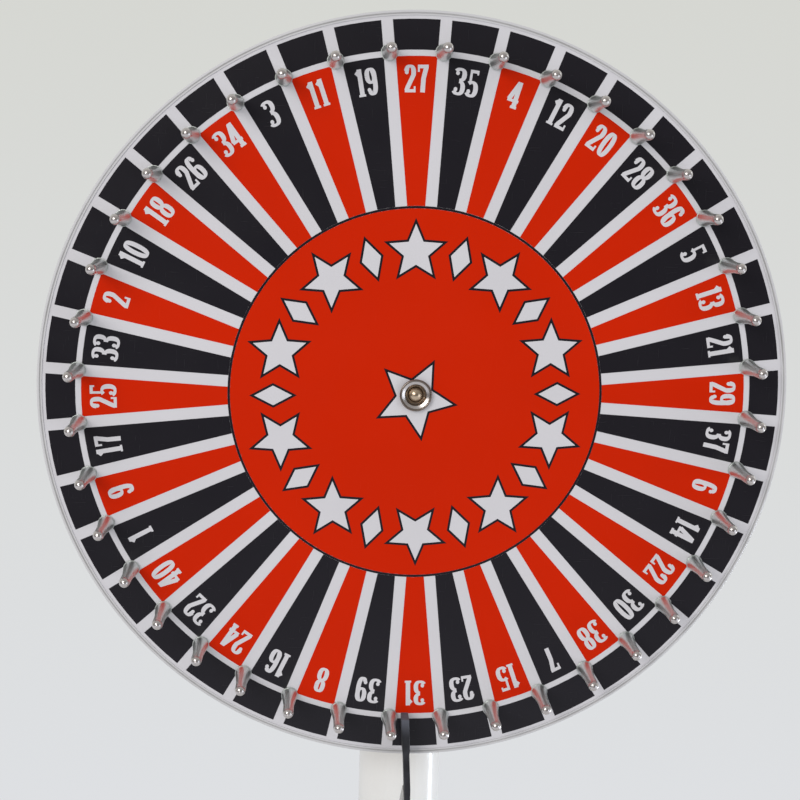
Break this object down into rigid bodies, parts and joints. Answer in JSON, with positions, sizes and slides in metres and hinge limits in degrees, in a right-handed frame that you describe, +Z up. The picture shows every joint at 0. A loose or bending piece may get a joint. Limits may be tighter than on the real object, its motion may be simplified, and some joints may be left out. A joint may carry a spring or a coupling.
{
  "type": "carnival game wheel",
  "caption": "Floor-standing spinning game wheel with a numbered, pegged face on a pole with a round base, and a flexible strap pointer that clicks past the pegs.",
  "frame": {"origin": "on the floor, under the middle of the pole and the round base", "axes": "+Z up along the pole; the numbered face looks along -Y; +X is to the right seen from the front"},
  "size_m": [0.7599, 0.62, 1.68],
  "materials": {
    "white_coat": "gloss white powder coat",
    "white_plastic": "satin moulded plastic",
    "foot_rubber": "matt black rubber",
    "zinc_steel": "bright zinc plate",
    "turned_steel": "turned and ground",
    "peg_chrome": "satin nickel chrome",
    "hub_aluminium": "turned",
    "white_trim": "satin white coat on an extrusion",
    "plywood": "sealed birch ply",
    "white_face": "semi-gloss laminate",
    "red_film": "printed vinyl",
    "black_film": "printed vinyl",
    "white_film": "printed vinyl",
    "grey_steel": "grey hammer paint",
    "strap_rubber": "black reinforced rubber strap"
  },
  "bodies": {
    "stand": {"base_plate": "white_coat", "rubber_feet": "foot_rubber", "foot_screws": "zinc_steel", "pole_socket": "white_coat", "socket_bolts": "zinc_steel", "socket_washers": "zinc_steel", "socket_nuts": "zinc_steel", "socket_set_screws": "zinc_steel", "pole": "white_coat", "pole_cap": "white_plastic", "axle_sleeve": "white_coat", "axle": "turned_steel", "rear_washer": "zinc_steel", "rear_nut": "zinc_steel", "rear_spacer": "turned_steel", "bearing_inner_races": "turned_steel", "bearing_balls": "turned_steel", "bearing_spacer": "turned_steel", "front_spacer": "turned_steel", "hub_washer": "peg_chrome", "dome_nut": "peg_chrome", "collar_front": "grey_steel", "collar_rear": "grey_steel", "collar_bolts": "zinc_steel", "collar_nuts": "zinc_steel", "pointer_arm": "grey_steel", "clamp_plate": "grey_steel", "clamp_bolts": "zinc_steel", "clamp_nuts": "zinc_steel", "flapper_root": "strap_rubber"},
    "wheel": {"hub": "hub_aluminium", "bearing_outer_races": "turned_steel", "hub_screws": "zinc_steel", "wheel_board": "plywood", "face_sheet": "white_face", "edge_trim": "white_trim", "pegs": "peg_chrome", "peg_screws": "zinc_steel", "peg_washers": "zinc_steel", "red_wedges": "red_film", "black_wedges": "black_film", "border_blocks": "black_film", "centre_disc": "red_film", "centre_outline": "black_film", "star_outline": "black_film", "centre_star": "white_film"},
    "flapper": {"flapper_blade": "strap_rubber"}
  },
  "joints": [
    {"name": "wheel_spin", "type": "hinge", "parent": "stand", "child": "wheel", "pos_m": [0, -0.1148, 1.3], "axis": [0, -1, 0], "continuous": true},
    {"name": "flapper_flick", "type": "hinge", "parent": "stand", "child": "flapper", "pos_m": [0.0011, -0.1343, 0.892], "axis": [0, -1, 0], "range_deg": [-38, 38], "stiffness_Nm_per_rad": 0.15, "deforming": ["flapper_blade"]}
  ]
}
